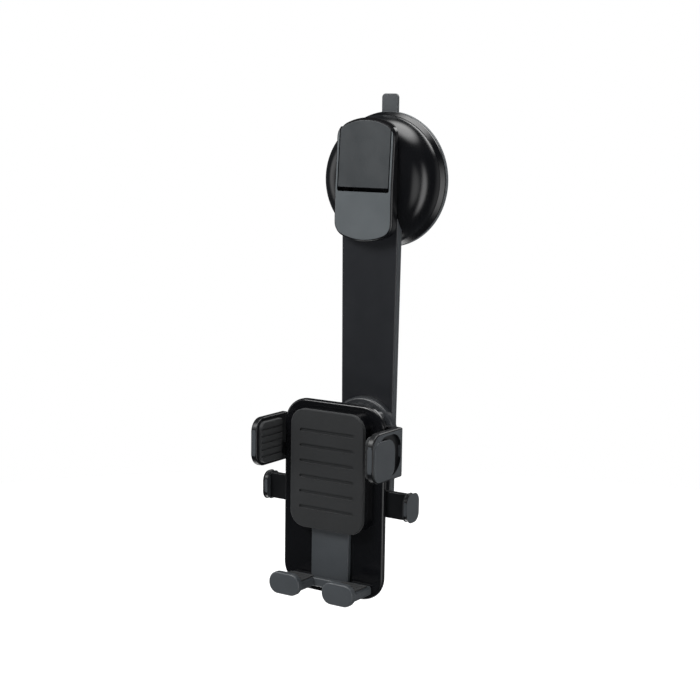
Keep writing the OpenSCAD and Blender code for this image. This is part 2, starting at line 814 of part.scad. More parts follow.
module foot_slider() {
    low = shelf_z - shelf_t;
    color(SATIN) {
        // Leaf that slides in the plate's channel.
        slab(plate_front - 0.9, plate_front + leaf_t)
            translate([-leaf_w / 2, low]) square([leaf_w, leaf_h + shelf_t]);
        // Crossbar between the shelves.
        slab(plate_front + free, plate_front + 5) translate([0, low + shelf_t / 2])
            square([2 * foot_x + foot_w - 4, shelf_t], center = true);
        // A shelf and its front lip on each side.
        for (side = [-1, 1]) {
            slab(plate_front + free, foot_front - 1) translate([side * foot_x, low + shelf_t / 2])
                square([foot_w - 2.4, shelf_t], center = true);
            slab(foot_front - lip_t, foot_front)
                translate([side * foot_x, shelf_z + 5.2 - lip_h / 2]) rounded(foot_w, lip_h, lip_h / 2 - 0.2);
        }
    }
}

module foot_pads() {
    color(SOFT) for (side = [-1, 1]) slab(pad_face - 4, foot_front - lip_t - seat)
        translate([side * foot_x, shelf_z + grip_t / 2]) square([foot_w - 5, grip_t - seat], center = true);
}

suction_cup();
dome_housing();
head_frame();
head_screws();
lock_lever();
lever_pin();
plunger();
plunger_spring();
arm_core();
arm_front_shell();
arm_rear_shell();
arm_screws();
socket_base();
socket_screws();
lock_nut();
ball_liner();
joint_ball();
ball_stud();
stud_screw();
rear_housing();
front_plate();
front_pad();
housing_screws();
pinion_pin();
sync_pinion();
right_clamp_arm();
left_clamp_arm();
right_clamp_pad();
left_clamp_pad();
clamp_spring();
right_release_lever();
left_release_lever();
release_spring();
lock_pawl();
pawl_spring();
foot_slider();
foot_pads();
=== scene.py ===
# %% [markdown]
# # A car phone mount, dressed in Blender
# The mount sticks to a windscreen with a lever-locked suction cup. A flat arm hangs from the cup,
# and a ball joint near its end carries a cradle with two geared clamps and a pull-out foot.
# The CAD frame holds the true sizes and the joints. Here each plastic, rubber and steel piece gets
# its moulded edges, its small details and its finish. X runs right, Y away from the driver, Z up,
# and the middle of the cup on the glass is the origin.

# %% Load the frame
import json
import math

import bmesh
import bpy
from mathutils import Matrix, Vector

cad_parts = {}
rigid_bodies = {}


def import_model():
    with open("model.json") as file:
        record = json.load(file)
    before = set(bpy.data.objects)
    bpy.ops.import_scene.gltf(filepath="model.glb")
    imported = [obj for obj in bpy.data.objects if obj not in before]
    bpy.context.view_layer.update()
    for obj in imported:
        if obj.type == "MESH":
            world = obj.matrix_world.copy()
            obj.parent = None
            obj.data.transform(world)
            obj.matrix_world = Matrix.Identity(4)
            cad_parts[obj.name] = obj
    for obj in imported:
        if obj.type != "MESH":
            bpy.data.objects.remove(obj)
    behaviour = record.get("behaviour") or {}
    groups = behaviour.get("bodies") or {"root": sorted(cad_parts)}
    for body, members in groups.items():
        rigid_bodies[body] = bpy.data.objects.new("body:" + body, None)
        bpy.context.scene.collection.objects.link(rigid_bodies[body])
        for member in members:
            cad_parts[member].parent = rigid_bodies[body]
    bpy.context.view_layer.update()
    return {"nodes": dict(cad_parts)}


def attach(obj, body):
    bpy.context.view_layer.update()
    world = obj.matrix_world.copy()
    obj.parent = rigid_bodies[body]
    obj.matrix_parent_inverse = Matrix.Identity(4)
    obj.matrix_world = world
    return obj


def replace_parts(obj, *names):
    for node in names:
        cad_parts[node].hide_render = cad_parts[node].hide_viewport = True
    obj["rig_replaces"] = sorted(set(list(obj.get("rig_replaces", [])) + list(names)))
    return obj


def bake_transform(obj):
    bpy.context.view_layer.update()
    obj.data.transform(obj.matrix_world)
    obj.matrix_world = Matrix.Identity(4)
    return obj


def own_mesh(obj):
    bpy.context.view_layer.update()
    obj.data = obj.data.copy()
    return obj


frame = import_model()

# %% [markdown]
# ## The camera
# The mount is seen from its right and a little above, through a long lens, so that its upright
# edges stay nearly parallel. The three axes of the camera are worked out from a turn, a tilt and a
# slight roll, which is easier to read than a matrix of nine numbers.

# %% Camera
turn = math.radians(33.02)
tilt = math.radians(8.51)
roll = math.radians(0.83)
backward = Vector((math.sin(turn) * math.cos(tilt), -math.cos(turn) * math.cos(tilt), math.sin(tilt)))
level = Vector((math.cos(turn), math.sin(turn), 0))
upward = backward.cross(level)
side = math.cos(roll) * level + math.sin(roll) * upward
top = -math.sin(roll) * level + math.cos(roll) * upward
camera = bpy.data.objects.new("camera", bpy.data.cameras.new("camera"))
camera.data.lens = 81.26
camera.data.sensor_width = 36
camera_place = (0.50186, -0.81427, 0.03877)
camera_axes = Matrix((side, top, backward)).transposed()
camera.matrix_world = Matrix.Translation(camera_place) @ camera_axes.to_4x4()
bpy.context.scene.collection.objects.link(camera)
bpy.context.scene.camera = camera
print("camera lens", round(camera.data.lens, 2), "mm")

# %% [markdown]
# ## Outlines
# Most pieces are moulded plates, so each starts as a flat outline drawn in millimetres. A corner is
# given as two coordinates and a radius, and `rounded_outline` replaces it with an arc. The same
# helper draws the profiles of the turned pieces. `inside` moves an outline inwards, which is what
# the rounded edge of a moulding does as it meets the face.

# %% Outline helpers
MM = 0.001


def rounded_outline(corners, steps=6):
    outline = []
    for i, (u, v, radius) in enumerate(corners):
        here = Vector((u, v))
        before = Vector(corners[i - 1][:2]) - here
        after = Vector(corners[(i + 1) % len(corners)][:2]) - here
        if radius == 0:
            outline.append((u, v))
            continue
        half = before.angle(after) / 2
        middle = here + (before.normalized() + after.normalized()).normalized() * (radius / math.sin(half))
        start = here + before.normalized() * (radius / math.tan(half)) - middle
        end = here + after.normalized() * (radius / math.tan(half)) - middle
        first = math.atan2(start.y, start.x)
        sweep = (math.atan2(end.y, end.x) - first + math.pi) % (2 * math.pi) - math.pi
        for k in range(steps + 1):
            a = first + sweep * k / steps
            outline.append((middle.x + radius * math.cos(a), middle.y + radius * math.sin(a)))
    return outline


def box_outline(left, right, low, high, radius=0.0, steps=6):
    corners = [(right, low), (right, high), (left, high), (left, low)]
    return rounded_outline([(u, v, radius) for u, v in corners], steps)


def circle_outline(radius, u=0.0, v=0.0, around=48):
    return [(u + radius * math.cos(a), v + radius * math.sin(a))
            for a in (2 * math.pi * k / around for k in range(around))]


def inside(outline, distance):
    moved = []
    for i, (u, v) in enumerate(outline):
        before = Vector((u, v)) - Vector(outline[i - 1])
        after = Vector(outline[(i + 1) % len(outline)]) - Vector((u, v))
        a = Vector((-before.y, before.x)).normalized()
        b = Vector((-after.y, after.x)).normalized()
        shift = (a + b) * distance / max(0.3, 1 + a.dot(b))
        moved.append((u + shift.x, v + shift.y))
    return moved


print("a 20 mm square with 3 mm corners has", len(box_outline(-10, 10, -10, 10, 3)), "points")

# %% [markdown]
# ## From outline to solid
# A plate is a stack of copies of its outline: a quarter-round at the back, a straight wall and a
# quarter-round at the front, closed by a face at each end. Outlines drawn from the front hold x and
# z, and the plate's depth is its distance from the glass. Outlines drawn from the side hold the
# distance from the glass and z, and the depth is x. Turned pieces are spun round the axis of the
# cup or of the ball. All of these are rows of points, so `grid_faces` skins every one of them.

# %% Solid helpers
def from_front(u, v, depth):
    return (u * MM, -depth * MM, v * MM)


def from_side(u, v, depth):
    return (depth * MM, -u * MM, v * MM)


def add_solid(name, points, faces):
    mesh = bpy.data.meshes.new(name)
    mesh.from_pydata(points, [], faces)
    shape = bmesh.new()
    shape.from_mesh(mesh)
    bmesh.ops.remove_doubles(shape, verts=shape.verts, dist=2e-6)
    bmesh.ops.recalc_face_normals(shape, faces=shape.faces)
    shape.to_mesh(mesh)
    shape.free()
    solid = bpy.data.objects.new(name, mesh)
    bpy.context.scene.collection.objects.link(solid)
    return solid


def grid_faces(rows, columns, rows_close=False, columns_close=True):
    return [(r * columns + c, r * columns + (c + 1) % columns,
             (r + 1) % rows * columns + (c + 1) % columns, (r + 1) % rows * columns + c)
            for r in range(rows if rows_close else rows - 1)
            for c in range(columns if columns_close else columns - 1)]


def edge_rings(back, front, round_back, round_front, steps=4):
    quarter = [math.pi / 2 * k / steps for k in range(steps + 1)]
    rings = [(0.0, back)] if round_back == 0 else [
        (round_back * (1 - math.sin(a)), back + round_back * (1 - math.cos(a))) for a in quarter]
    rings += [(0.0, front)] if round_front == 0 else [
        (round_front * (1 - math.cos(a)), front - round_front * (1 - math.sin(a))) for a in quarter]
    return rings


def plate(name, outline, back, front, round_back=0.0, round_front=0.0, drawn=from_front, steps=4):
    count = len(outline)
    rings = edge_rings(back, front, round_back, round_front, steps)
    points = [drawn(u, v, depth) for inset, depth in rings
              for u, v in (inside(outline, inset) if inset > 1e-9 else outline)]
    faces = grid_faces(len(rings), count)
    faces += [tuple(range(count))[::-1], tuple(range((len(rings) - 1) * count, len(rings) * count))]
    return add_solid(name, points, faces)


def turned(name, profile, centre=(0.0, 0.0), around=96):
    count = len(profile)
    points = [(centre[0] * MM + r * MM * math.cos(a), -d * MM, centre[1] * MM + r * MM * math.sin(a))
              for a in (2 * math.pi * k / around for k in range(around)) for r, d in profile]
    on_axis = profile[0][0] == 0 and profile[-1][0] == 0
    return add_solid(name, points, grid_faces(around, count, True, not on_axis))


def carve(solid, *cutters):
    for cutter in cutters:
        cut = solid.modifiers.new("cut", "BOOLEAN")
        cut.operation = "DIFFERENCE"
        cut.solver = "EXACT"
        cut.object = cutter
    bpy.context.view_layer.update()
    carved = bpy.data.meshes.new_from_object(solid.evaluated_get(bpy.context.evaluated_depsgraph_get()))
    solid.modifiers.clear()
    solid.data = carved
    for cutter in cutters:
        bpy.data.objects.remove(cutter)
    return solid


def join(first, *others):
    shape = bmesh.new()
    for solid in (first, *others):
        shape.from_mesh(solid.data)
    shape.to_mesh(first.data)
    shape.free()
    for solid in others:
        bpy.data.objects.remove(solid)
    return first


def mirrored(solid, name):
    copy = bpy.data.objects.new(name, solid.data.copy())
    copy.data.transform(Matrix.Scale(-1, 4, (1, 0, 0)))
    copy.data.flip_normals()
    bpy.context.scene.collection.objects.link(copy)
    return copy


# %% [markdown]
# ## Moulded plastic
# The plastics are black or slate ABS. The tool that moulds them is spark-eroded, which leaves a
# fine even grain on the satin pieces and hardly any on the glossy ones. The grain is a small noise
# bump, a second broad noise moves the roughness a little as handling does, and a third shifts the
# colour by a few percent, because a perfectly even grey looks computed.

# %% Helpers for finishes
def new_finish(name):
    material = bpy.data.materials.new(name)
    material.use_nodes = True
    place = material.node_tree.nodes.new("ShaderNodeTexCoord")
    return material, material.node_tree.nodes["Principled BSDF"], place.outputs["Object"]


def noise(material, vector, scale, detail, roughness=0.5):
    texture = material.node_tree.nodes.new("ShaderNodeTexNoise")
    texture.inputs["Scale"].default_value = scale
    texture.inputs["Detail"].default_value = detail
    texture.inputs["Roughness"].default_value = roughness
    material.node_tree.links.new(vector, texture.inputs["Vector"])
    return texture.outputs["Fac"]


def uneven_roughness(material, fac, middle, spread, low=0.0, high=1.0):
    """Roughness that runs from middle - spread to middle + spread as the noise goes from low to high."""
    nodes, links = material.node_tree.nodes, material.node_tree.links
    polish = nodes.new("ShaderNodeMapRange")
    polish.inputs["From Min"].default_value = low
    polish.inputs["From Max"].default_value = high
    polish.inputs["To Min"].default_value = middle - spread
    polish.inputs["To Max"].default_value = middle + spread
    links.new(fac, polish.inputs["Value"])
    links.new(polish.outputs["Result"], nodes["Principled BSDF"].inputs["Roughness"])


def relief(material, height, strength, depth):
    nodes, links = material.node_tree.nodes, material.node_tree.links
    bump = nodes.new("ShaderNodeBump")
    bump.inputs["Strength"].default_value = strength
    bump.inputs["Distance"].default_value = depth
    links.new(height, bump.inputs["Height"])
    links.new(bump.outputs["Normal"], nodes["Principled BSDF"].inputs["Normal"])


# %% Plastic finish
grain_depth = 0.00004


def plastic(name, colour, roughness, grain=0.12, grain_size=0.35, variation=0.1, specular=0.5, marks=0.06):
    material, shader, place = new_finish(name)
    nodes, links = material.node_tree.nodes, material.node_tree.links
    shader.inputs["Specular IOR Level"].default_value = specular
    shades = nodes.new("ShaderNodeValToRGB")
    for element, position, change in zip(shades.color_ramp.elements, (0.3, 0.7), (-variation, variation)):
        element.position = position
        element.color = (*[c * (1 + change) for c in colour], 1)
    links.new(noise(material, place, 38, 4), shades.inputs["Fac"])
    links.new(shades.outputs["Color"], shader.inputs["Base Color"])
    uneven_roughness(material, noise(material, place, 90, 6, 0.65), roughness, marks, 0.3, 0.7)
    relief(material, noise(material, place, 1 / (grain_size * MM), 3), grain, grain_depth)
    return material


slate = plastic("slate plastic", (0.080, 0.090, 0.096), 0.42, grain=0.3)
lever_slate = plastic("lever slate", (0.030, 0.034, 0.037), 0.40, grain=0.3)
black_gloss = plastic("gloss black plastic", (0.003, 0.0032, 0.004), 0.2,
                      grain=0.03, marks=0.03, specular=0.4)
# Painted shade: a near-black, matt, barely reflective finish for the head's recess and the lever's sides that
# sit in it.
painted_recess_shade = plastic("painted recess shade plastic", (0.003, 0.003, 0.004), 0.6, grain=0.2, specular=0.1)
# Painted shade and painted dark reflection: a near-black finish for the rounded edges, hollows and inner
# faces of the clamps and release levers.
painted_edge_shade = plastic("painted edge shade plastic", (0.004, 0.0043, 0.005), 0.36, grain=0.1, specular=0.35)
arm_gloss = plastic("arm black plastic", (0.0145, 0.0155, 0.018), 0.32,
                    grain=0.08, marks=0.04, specular=0.35)
satin = plastic("satin black plastic", (0.020, 0.022, 0.025), 0.38, grain=0.35)
clamp_slate = plastic("clamp slate plastic", (0.041, 0.046, 0.051), 0.42, grain=0.3)
nylon = plastic("gear nylon", (0.55, 0.53, 0.47), 0.45, grain=0.1, variation=0.05)
print("plastics:", [m.name for m in bpy.data.materials])

# %% [markdown]
# ## Rubber and steel
# The clamp pads, the cradle pad and the cup are soft. Silicone is matt, slightly dusty at grazing
# angles, and its grain is coarser than that of the plastics. The cup is a translucent grey gel, so
# some light passes into it. The steel pieces are turned or drawn, which leaves fine lines in one
# direction: a noise stretched a hundredfold along an axis gives them.

# %% Soft finishes
def silicone(name, colour, roughness=0.68, grain=0.5, depth=0.0):
    material = plastic(name, colour, roughness, grain=grain, grain_size=0.22, variation=0.12, specular=0.35)
    shader = material.node_tree.nodes["Principled BSDF"]
    shader.inputs["Sheen Weight"].default_value = 0.12
    shader.inputs["Sheen Roughness"].default_value = 0.5
    shader.inputs["Subsurface Weight"].default_value = depth
    shader.inputs["Subsurface Radius"].default_value = (0.002, 0.002, 0.0022)
    return material


pad_silicone = silicone("pad silicone", (0.010, 0.011, 0.012))
cup_gel = silicone("cup gel", (0.066, 0.072, 0.077), roughness=0.5, grain=0.2, depth=0.15)


# %% Steel finish
along_lines, across_lines, line_depth = 20, 2400, 0.00003


def steel_finish(name, colour=(0.50, 0.51, 0.52), roughness=0.3, along="Z"):
    material, shader, place = new_finish(name)
    nodes, links = material.node_tree.nodes, material.node_tree.links
    shader.inputs["Metallic"].default_value = 1.0
    shader.inputs["Base Color"].default_value = (*colour, 1)
    stretch = nodes.new("ShaderNodeMapping")
    stretch.inputs["Scale"].default_value = [along_lines if axis == along else across_lines for axis in "XYZ"]
    links.new(place, stretch.inputs["Vector"])
    lines = noise(material, stretch.outputs["Vector"], 1, 3)
    uneven_roughness(material, lines, roughness, 0.1)
    relief(material, lines, 0.15, line_depth)
    return material


sheet_steel = steel_finish("sheet steel")
turned_steel = steel_finish("turned steel", (0.56, 0.56, 0.57), 0.24, along="Y")
black_steel = steel_finish("blackened steel", (0.05, 0.05, 0.055), 0.5)
spring_steel = steel_finish("spring steel", (0.42, 0.42, 0.43), 0.32, along="X")
print("finishes:", len(bpy.data.materials))

# %% [markdown]
# ## Handing a piece over
# Every piece ends the same way: smooth shading with the hard edges kept, a weighted normal so that
# the flat faces look flat beside their rounded edges, its finish, and the body that it moves with.

# %% Hand over
def hand_over(solid, finish, slot, body, *nodes, sharp=32):
    solid.data.polygons.foreach_set("use_smooth", [True] * len(solid.data.polygons))
    solid.data.set_sharp_from_angle(angle=math.radians(sharp))
    solid.data.materials.clear()
    solid.data.materials.append(finish)
    flat_faces = solid.modifiers.new("flat faces", "WEIGHTED_NORMAL")
    flat_faces.keep_sharp = True
    flat_faces.weight = 60
    if nodes:
        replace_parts(solid, *nodes)
    if body:
        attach(solid, body)
    print(solid.name, "has", len(solid.data.polygons), "faces")
    return solid


# %% [markdown]
# The slate head has a glossy black body under a slate face: only the broad faces are slate, and the
# rounded edges stay black. `second_finish` gives a second finish to the faces that a test picks, by
# where they look or where they lie. It also paints shade: the head's recess and the lever's sides
# get painted recess shade, and the clamps and release levers get near-black painted shade on their
# rounded edges and hollows.

# %% Second finish
def second_finish(solid, finish, test):
    solid.data.materials.append(finish)
    index = len(solid.data.materials) - 1
    count = 0
    for face in solid.data.polygons:
        if test(face.normal, face.center / MM):
            face.material_index = index
            count += 1
    print(solid.name, "has", count, "faces in", finish.name)


# %% [markdown]
# ## Suction cup
# The cup is a soft gel disc. Its lip stays on the glass, and the lever pulls its middle away from
# the glass to make the vacuum. So it is two pieces: a lip with the pull tab that stays with the
# dome, and a middle between the dome and the plunger that is attached to neither.

# %% Cup lip and tab
cup_r, hollow_r, hollow_height = 40.5, 27, 3.2
lip_profile = rounded_outline([
    (cup_r - 0.6, 0, 0.3), (cup_r, 0.9, 0.5), (cup_r, 3, 0.7), (hollow_r, 3, 0), (hollow_r, 0.3, 0),
    (35, 0.3, 0), (35.4, 0.0, 0)], 4)
cup_lip = turned("cup_lip", lip_profile, around=160)
tab_outline = box_outline(-5.65, 5.65, 33, 51, 2.4, 8)
cup_tab = plate("cup_tab", tab_outline, 0.4, 2.4, 0.5, 0.5)
join(cup_lip, cup_tab)
hand_over(cup_lip, cup_gel, "cup_gel", "stand")

# %% Cup middle
hollow = [(hollow_r * math.sin(a), hollow_height * math.cos(a))
          for a in (math.pi / 24 * k for k in range(13))]
middle_profile = hollow + [(28, 0.3), (28, 2.9), (27.2, 4.6), (26.2, 5.9), (25, 6.4), (0, 6.4)]
cup_middle = turned("cup_middle", middle_profile, around=96)
hand_over(cup_middle, cup_gel, "cup_gel", None, "suction_cup")
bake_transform(cup_middle)

# %% [markdown]
# ## Dome
# The dome is one turned shape: a full round shoulder that runs down to a bright bevelled rim. A
# profile spun round the cup's axis gives a flawless curve, which matters here because gloss shows
# every facet. The window for the lever's cams and the notch for the arm are cut out afterwards.

# %% Dome
dome_top, shoulder, rim = 25.2, 17.5, 38.3
bend_x, bend_y = rim - shoulder, dome_top - shoulder


def bend_arc(radius, first, last, step):
    return [(bend_x + radius * math.cos(math.radians(a)), bend_y + radius * math.sin(math.radians(a)))
            for a in range(first, last, step)]


outer = bend_arc(shoulder, 90, -1, -3)
bevel = rounded_outline([(bend_x, bend_y, 0), (rim, bend_y, 0), (rim, 6.8, 0.5), (rim + 1.9, 4.1, 0.6),
                         (rim + 1.9, 3.05, 0.25), (32, 3.05, 0), (32, 6, 0)], 4)[2:-1]
ceiling = [(bend_x, 21.1), (0, 21.1)]
inner = [(32, bend_y)] + bend_arc(11.2, 6, 61, 6)
dome = turned("dome", [(0, dome_top)] + outer + bevel + inner + ceiling, around=192)
arm_notch = plate("arm notch", box_outline(-19.7, 19.7, -45, -19.94), 17.1, 23.06)
core_slot = plate("core slot", box_outline(-13.06, 13.06, -45, 17.06), 19.0, 21.12)
window_outline = box_outline(-9.1, 9.1, -8.6, 7.8, 1)
cam_window = plate("cam window", window_outline, 20, 27)
edge_trough = plate("edge trough", box_outline(-18.2, 18.2, -6.8, 1.4, 0.5), 21.7, 27)
carve(dome, arm_notch, core_slot, cam_window, edge_trough)
hand_over(dome, black_gloss, "gloss_plastic", "stand", "dome_housing", sharp=38)

# %% [markdown]
# ## Head and lever
# The head is the slate cover in front of the dome. Both ends are arched, and its upper half leans
# back. A stack of level rows, each as wide as the arches allow, follows the lean exactly: every row
# is level, so the front stays made of flat strips. The lever's panel comes from the same rows, a
# little narrower, so that the two always match.

# %% Head shape
head_top, head_low, head_half, head_front = 36.8, -35.8, 20.3, 31.0
panel_low, lean, head_corner = -4.4, 2.7, 9


def leaning_front(z):
    return head_front - lean * max(0.0, z - panel_low) / (head_top - panel_low)


def head_width(z, inset):
    """Half the head's width at height z, for an outline moved in by inset: straight sides, then a
    corner that runs smoothly into the arched end."""
    width = head_half - inset
    corner_x = head_half - head_corner
    for past_end, arch in ((z - head_top, 36), (head_low - z, 40)):
        height = past_end + arch
        corner_z = math.sqrt((arch - head_corner) ** 2 - corner_x ** 2)
        if height > corner_z * (arch - inset) / (arch - head_corner):
            width = math.sqrt(max(0.0, (arch - inset) ** 2 - height ** 2))
        elif height > corner_z:
            width = corner_x + math.sqrt(max(0.0, (head_corner - inset) ** 2 - (height - corner_z) ** 2))
    return width


def level_rows(name, width, low, high, back, front, round_front, round_back=0.0, rows=72, steps=5):
    points = []
    quarter = [math.pi / 2 * k / steps for k in range(steps + 1)]
    rings = [("back", round_back * (1 - math.sin(a)), round_back * (1 - math.cos(a))) for a in quarter]
    rings += [("front", round_front * (1 - math.cos(a)), -round_front * (1 - math.sin(a))) for a in quarter]
    for end, inset, step in rings:
        heights = [low + inset + (high - low - 2 * inset) * (1 - math.cos(math.pi * k / rows)) / 2
                   for k in range(rows + 1)]
        right = [(max(0.02, width(z, inset)), z) for z in heights]
        loop = right + [(-w, z) for w, z in reversed(right)]
        points += [from_front(u, v, (back(v) if end == "back" else front(v)) + step) for u, v in loop]
    count = 2 * rows + 2
    faces = grid_faces(len(rings), count)
    for first in (0, (len(rings) - 1) * count):
        last = first + count - 1
        faces += [(first + i, first + i + 1, last - 1 - i, last - i) for i in range(rows)]
    return add_solid(name, points, faces)


lean_start, lean_back = 23.2, 2.37 / 14.4


def head_back(z):
    return min(dome_top, dome_top - (z - lean_start) * lean_back)


head = level_rows("head", head_width, head_low, head_top, head_back, leaning_front, 1.7, 0.3)


recess_low, recess_half, recess_corner = -6.6, 18.0, 1.1


def recess_width(z, inset):
    t = max(0.0, recess_corner - (z - recess_low))
    return recess_half - recess_corner + math.sqrt(max(0.0, recess_corner ** 2 - t ** 2))


def recess_floor(z):
    return 24.2 if z < 1.6 else leaning_front(z) - 3.1


recess = level_rows("recess", recess_width, recess_low, 50, recess_floor, lambda z: 35.0, 0.0, rows=90)
window = plate("window", window_outline, 24, 27.9)
carve(head, recess, window)
hand_over(head, slate, "slate_plastic", "stand", "head_frame")
facing_front = -0.95
second_finish(head, black_gloss, lambda normal, centre: normal.y > facing_front)
# The recess behind the lever gets painted shade: its floor and walls are painted near black.
second_finish(head, painted_recess_shade, lambda normal, centre:
              centre.z > recess_low - 0.1 and abs(centre.x) < recess_half + 0.05
              and -centre.y < leaning_front(centre.z) - 0.2)

# %% [markdown]
# The lever is a panel with two cams behind it. Each cam's edge is an involute, so the plunger rises
# evenly as the panel swings out. The cams and the bore for the pin only show when the lever is
# open, and they are drawn from the side.

# %% Lever panel
panel_half, panel_inset = 17.7, 1.3


def panel_width(z, inset):
    t = max(0.0, 1.0 - (z - panel_low - inset))
    low_corner = panel_half - inset - 1.0 + math.sqrt(max(0.0, 1.0 - t ** 2))
    return min(head_width(z, inset + panel_inset), panel_half - inset, low_corner)


def panel_back(z):
    return leaning_front(z) - (0.9 + 1.9 * min(1.0, (z - panel_low) / 2.0))


panel_top = head_top - panel_inset
lever = level_rows("lever", panel_width, panel_low, panel_top, panel_back, leaning_front, 0.55, 0.25)

# %% Lever cams
pin_depth, cam_height, open_angle, plunger_travel = 27.6, 6.44, math.radians(72), 2
cam_rate = plunger_travel / open_angle
cam_edge = []
for k in range(19):
    a = open_angle * k / 18
    height = cam_height - cam_rate * a
    cam_edge.append((-height * math.cos(a) - cam_rate * math.sin(a),
                     -height * math.sin(a) + cam_rate * math.cos(a)))
cam_outline = [(pin_depth + u, v) for u, v in cam_edge + [(2.2, -3.6), (2.2, 5), (-1, 5)]]
cam_t = 5.2
for left in (3.3, -8.5):
    cam = plate("cam", cam_outline, left, left + cam_t, 0.2, 0.2, from_side, 2)
    hub = plate("hub", circle_outline(3, pin_depth), left, left + cam_t, 0.2, 0.2, from_side, 2)
    join(lever, cam, hub)
hand_over(lever, lever_slate, "slate_plastic", "lever", "lock_lever")
# The lever's sides, back and cams sit in the head's recess and get painted shade.
second_finish(lever, painted_recess_shade, lambda normal, centre: normal.y > facing_front)

# %% [markdown]
# ## Arm
# The arm is two long shells round a steel bar. It tapers a little towards its rounded lower end. Each
# shell is a plate with a soft outer edge, and a hairline bevel where they meet draws the parting
# line that a real pair of shells shows.

# %% Arm outline
def arm_half(z):
    return (38.8 - 4.0 * (-z - 40) / 164) / 2


arm_low, arm_high, arm_corner = -204, -20, 15
arm_outline = rounded_outline([
    (arm_half(arm_low), arm_low, arm_corner), (arm_half(arm_high), arm_high, 0),
    (-arm_half(arm_high), arm_high, 0), (-arm_half(arm_low), arm_low, arm_corner)], 16)
core_pocket = dict(outline=box_outline(-13.05, 13.05, -174.3, -19), back=19.05, front=21.15)
front_shell = plate("front_shell", arm_outline, 20.1, 23.0, 0.08, 1.1)
carve(front_shell, plate("core pocket", **core_pocket))
hand_over(front_shell, arm_gloss, "gloss_plastic", "stand", "arm_front_shell")
facing_side = 0.93
second_finish(front_shell, clamp_slate, lambda normal, centre: abs(normal.x) > facing_side)

# %% Arm rear shell with its screw holes
def screw_hole(place, back, mouth_r, flare_end, seat, end):
    """A hole from behind: a flared mouth, a seat for the screw's head and a bore for its shank."""
    head_r, bore_r = 2.76, 1.56
    return turned("hole", [(0, back), (mouth_r, back), (head_r, flare_end), (head_r, seat), (bore_r, seat),
                           (bore_r, end), (0, end)], place, 32)


ball_z = -152
arm_screw_places = [(0, -52), (0, -84), (0, -116)]
socket_screw_places = [(x, ball_z + z) for x in (-8, 8) for z in (-12, 12)]
rear_shell = plate("rear_shell", arm_outline, 17.2, 20.05, 1.1, 0.08)
holes = [screw_hole(place, 16, 3.0, 17.45, 18.4, 21) for place in arm_screw_places + socket_screw_places]
carve(rear_shell, plate("core pocket", **core_pocket), *holes)
hand_over(rear_shell, satin, "satin_plastic", "stand", "arm_rear_shell")
second_finish(rear_shell, clamp_slate, lambda normal, centre: abs(normal.x) > facing_side)


# %% [markdown]
# ## Screws
# The screws are seen from behind the arm and behind the cradle. Their pan heads have a rounded edge
# and a cross recess. One function makes them all, because only the depth and the length differ.

# %% Screws
def screw(name, place, back, front):
    head_r, shank_r, seat = 2.7, 1.5, back + 1.2
    profile = rounded_outline([(0, back, 0), (head_r, back, 0.45), (head_r, seat, 0.1), (shank_r, seat, 0),
                               (shank_r, front - 0.4, 0), (1.1, front, 0), (0, front, 0)], 3)
    x, z = place
    slots = [plate("slot", box_outline(x - w, x + w, z - h, z + h, 0.2, 2), back - 1, back + 0.7)
             for w, h in ((1.6, 0.35), (0.35, 1.6))]
    return carve(turned(name, profile, place, 40), *slots)


def screw_set(name, places, back, front, body, node):
    screws = [screw(name if i == 0 else "screw", place, back, front) for i, place in enumerate(places)]
    join(*screws)
    return hand_over(screws[0], turned_steel, "steel", body, node)


screw_set("arm_screw_set", arm_screw_places, 17.2, 21.9, "stand", "arm_screws")
screw_set("socket_screw_set", socket_screw_places, 17.2, 26.0, "stand", "socket_screws")

# %% [markdown]
# ## Ball joint
# A round base on the arm holds the ball's cup, and a ribbed nut clamps it. The base and the nut are
# turned round the ball's axis. The nut's ribs come from letting its radius follow the angle: twenty
# shallow scallops between twenty lands.

# %% Socket base
base_profile = rounded_outline([
    (0, 26, 0), (10.76, 26, 0), (10.76, 34.2, 0.3), (15.5, 34.2, 0.7), (15.5, 28, 0.8), (21.8, 28, 1.4),
    (22.8, 26.6, 1.6), (22.8, 23.05, 0.3), (6, 23.05, 0), (6, 24.3, 0), (0, 24.3, 0)], 5)
base = turned("base", base_profile[1:-1], (0, ball_z), 120)
hand_over(base, satin, "satin_plastic", "stand", "socket_base")

# %% Clamp nut
nut_r, nut_ribs, scallop_r, nut_around = 20.2, 20, 1.45, 240
nut_profile = rounded_outline([
    (15.6, 28.3, 0), (19.4, 28.3, 0.4), (19.4, 37.2, 1.2), (15.4, 40.2, 0.8), (11.4, 40.2, 0.3),
    (8.3, 37.1, 0), (8.3, 36.7, 0), (11, 36.7, 0), (11, 34.5, 0), (15.6, 34.5, 0)], 4)
per_rib = nut_around // nut_ribs
nut_points = []
for k in range(nut_around):
    a = 2 * math.pi * k / nut_around
    off = (k % per_rib - per_rib / 2) / per_rib * 2 * math.pi / nut_ribs * nut_r
    ribbed_r = nut_r - math.sqrt(max(0.0, scallop_r ** 2 - off ** 2)) if abs(off) < scallop_r else nut_r
    for r, d in nut_profile:
        r = min(r, ribbed_r) if r > 16 and d < 39 else r
        nut_points.append((r * MM * math.cos(a), -d * MM, ball_z * MM + r * MM * math.sin(a)))
nut = add_solid("nut", nut_points, grid_faces(nut_around, len(nut_profile), True))
hand_over(nut, satin, "satin_plastic", "nut", "lock_nut", sharp=40)

# %% Ball stud
stud = turned("stud", rounded_outline([
    (0, 41.2, 0), (2.2, 41.0, 0), (4.2, 40.45, 0), (4.2, 43.3, 1.6), (8.5, 43.3, 0.5), (8.5, 45.5, 0.2),
    (1.6, 45.5, 0), (1.6, 41.9, 0), (0, 41.9, 0)], 5), (0, ball_z), 64)
hand_over(stud, turned_steel, "steel", "cradle", "ball_stud")

# %% [markdown]
# ## Cradle
# The cradle is a glossy back plate with a raised boss for the phone, and a satin housing behind it
# that hides the gears. Its corners are generous and its edges full, as on anything that sits near
# a hand in a car.

